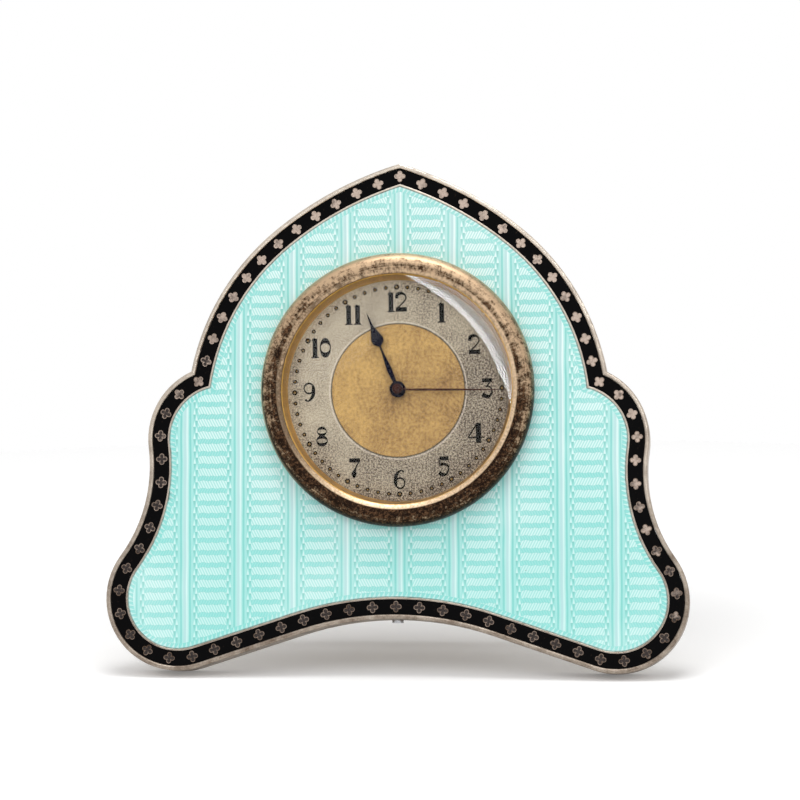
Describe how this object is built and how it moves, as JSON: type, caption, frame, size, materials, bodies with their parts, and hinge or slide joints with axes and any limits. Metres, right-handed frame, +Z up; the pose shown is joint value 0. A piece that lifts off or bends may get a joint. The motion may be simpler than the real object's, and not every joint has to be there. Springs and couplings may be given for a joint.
{
  "type": "easel clock",
  "caption": "Small enamelled easel clock with an arched foot, round glazed dial, two hands, wound and set from the back, on a folding strut.",
  "frame": {"origin": "on the table, under the centre of the clock's box", "axes": "+Z up, the dial faces -Y and leans back, +X is to the right as seen from the front"},
  "size_m": [0.1, 0.0374, 0.0869],
  "materials": {
    "silver": "worn silver, warm tarnish",
    "silver_back": "brushed silver",
    "black_enamel": "glossy champleve enamel",
    "mint_enamel": "translucent enamel over engine turning",
    "bezel_silver": "tarnished gilt silver",
    "crystal_glass": "clear domed glass",
    "gilt": "gilt",
    "dial_silver": "grained silvered dial with a gilt centre",
    "blued_steel": "blued steel",
    "polished_steel": "polished steel",
    "movement_brass": "gilt brass",
    "nickel": "nickelled, damascened"
  },
  "bodies": {
    "case": {"case_rim": "silver", "front_plate": "silver", "border_enamel": "black_enamel", "border_flowers": "silver", "enamel_panel": "mint_enamel", "back_plate": "silver_back", "back_ledges": "silver_back", "screw_block": "silver_back", "rim_screw": "blued_steel", "bezel": "bezel_silver", "crystal": "crystal_glass", "dial_flange": "gilt", "dial": "dial_silver", "movement_ring": "silver_back", "case_clamps": "polished_steel", "clamp_screws": "blued_steel", "main_plate": "nickel", "barrel_bridge": "nickel", "train_bridge": "nickel", "balance_cock": "nickel", "pallet_bridge": "nickel", "bridge_screws": "blued_steel", "hairspring": "blued_steel", "click_screw": "blued_steel", "movement_cover": "gilt", "hinge_leaf": "silver_back", "hinge_rivets": "silver_back", "hinge_pin": "silver_back"},
    "hand_setting": {"minute_hand": "blued_steel", "cannon_pinion": "polished_steel", "set_arbor": "polished_steel", "set_knob": "gilt"},
    "minute_work": {"minute_wheel": "movement_brass"},
    "hour_work": {"hour_wheel": "movement_brass", "hour_hand": "blued_steel"},
    "fourth": {"fourth_wheel": "movement_brass"},
    "third": {"third_wheel": "movement_brass"},
    "centre": {"centre_wheel": "movement_brass"},
    "second": {"second_wheel": "movement_brass"},
    "going_barrel": {"barrel_drum": "movement_brass", "barrel_lid": "movement_brass", "mainspring": "polished_steel"},
    "escape": {"escape_wheel": "polished_steel"},
    "balance": {"balance_wheel": "movement_brass"},
    "lever": {"pallet_fork": "polished_steel"},
    "index": {"regulator": "polished_steel"},
    "winding": {"barrel_arbor": "polished_steel", "ratchet_wheel": "polished_steel", "key_hub": "gilt", "key_pin": "polished_steel"},
    "key_bow": {"key_loop": "gilt"},
    "pawl": {"click": "polished_steel"},
    "easel": {"strut": "silver_back"}
  },
  "joints": [
    {"name": "set_hands", "type": "hinge", "parent": "case", "child": "hand_setting", "pos_m": [0, -0.0058, 0.048], "axis": [0, 0.9781, -0.2079], "continuous": true},
    {"name": "minute_wheel_turn", "type": "hinge", "parent": "case", "child": "minute_work", "pos_m": [0.0024, -0.00494, 0.05206], "axis": [0, 0.9781, -0.2079], "continuous": true},
    {"name": "hour_turn", "type": "hinge", "parent": "case", "child": "hour_work", "pos_m": [0, -0.0058, 0.048], "axis": [0, 0.9781, -0.2079], "continuous": true},
    {"name": "fourth_turn", "type": "hinge", "parent": "case", "child": "fourth", "pos_m": [0.00663, -0.00432, 0.05496], "axis": [0, 0.9781, -0.2079], "continuous": true},
    {"name": "third_turn", "type": "hinge", "parent": "case", "child": "third", "pos_m": [0.00575, -0.00537, 0.05004], "axis": [0, 0.9781, -0.2079], "continuous": true},
    {"name": "centre_turn", "type": "hinge", "parent": "case", "child": "centre", "pos_m": [0, -0.0058, 0.048], "axis": [0, 0.9781, -0.2079], "continuous": true},
    {"name": "second_turn", "type": "hinge", "parent": "case", "child": "second", "pos_m": [0.0037, -0.00691, 0.0428], "axis": [0, 0.9781, -0.2079], "continuous": true},
    {"name": "barrel_turn", "type": "hinge", "parent": "case", "child": "going_barrel", "pos_m": [-0.0053, -0.00771, 0.03902], "axis": [0, 0.9781, -0.2079], "continuous": true},
    {"name": "escape_turn", "type": "hinge", "parent": "case", "child": "escape", "pos_m": [0.00292, -0.00388, 0.05706], "axis": [0, 0.9781, -0.2079], "continuous": true},
    {"name": "balance_swing", "type": "hinge", "parent": "case", "child": "balance", "pos_m": [-0.0043, -0.00347, 0.05895], "axis": [0, 0.9781, -0.2079], "range_deg": [-26, 26], "stiffness_Nm_per_rad": 0.00000025},
    {"name": "lever_rock", "type": "hinge", "parent": "case", "child": "lever", "pos_m": [0, -0.00371, 0.05782], "axis": [0, 0.9781, -0.2079], "range_deg": [-6.19, 6.19]},
    {"name": "index_turn", "type": "hinge", "parent": "case", "child": "index", "pos_m": [-0.0043, -0.00347, 0.05895], "axis": [0, 0.9781, -0.2079], "range_deg": [-20, 20]},
    {"name": "wind_key_turn", "type": "hinge", "parent": "case", "child": "winding", "pos_m": [-0.0053, -0.00771, 0.03902], "axis": [0, 0.9781, -0.2079], "continuous": true},
    {"name": "key_bow_fold", "type": "hinge", "parent": "winding", "child": "key_bow", "pos_m": [-0.0053, 0.00442, 0.03644], "axis": [1, 0, 0], "range_deg": [0, 180]},
    {"name": "pawl_lift", "type": "hinge", "parent": "case", "child": "pawl", "pos_m": [-0.01119, -0.007, 0.04234], "axis": [0, 0.9781, -0.2079], "range_deg": [0, 12], "stiffness_Nm_per_rad": 0.00001, "springref_deg": -11.46},
    {"name": "strut_fold", "type": "hinge", "parent": "case", "child": "easel", "pos_m": [0, 0.00527, 0.07315], "axis": [1, 0, 0], "range_deg": [-22, 0]}
  ],
  "couplings": [
    {"joint": "minute_wheel_turn", "follows": "set_hands", "ratio": -0.33333},
    {"joint": "hour_turn", "follows": "set_hands", "ratio": 0.083333},
    {"joint": "third_turn", "follows": "fourth_turn", "ratio": -0.13333},
    {"joint": "centre_turn", "follows": "fourth_turn", "ratio": 0.016667},
    {"joint": "second_turn", "follows": "fourth_turn", "ratio": -0.0033333},
    {"joint": "barrel_turn", "follows": "fourth_turn", "ratio": 0.00055556},
    {"joint": "escape_turn", "follows": "fourth_turn", "ratio": -10},
    {"joint": "lever_rock", "follows": "balance_swing", "ratio": -0.23788}
  ]
}
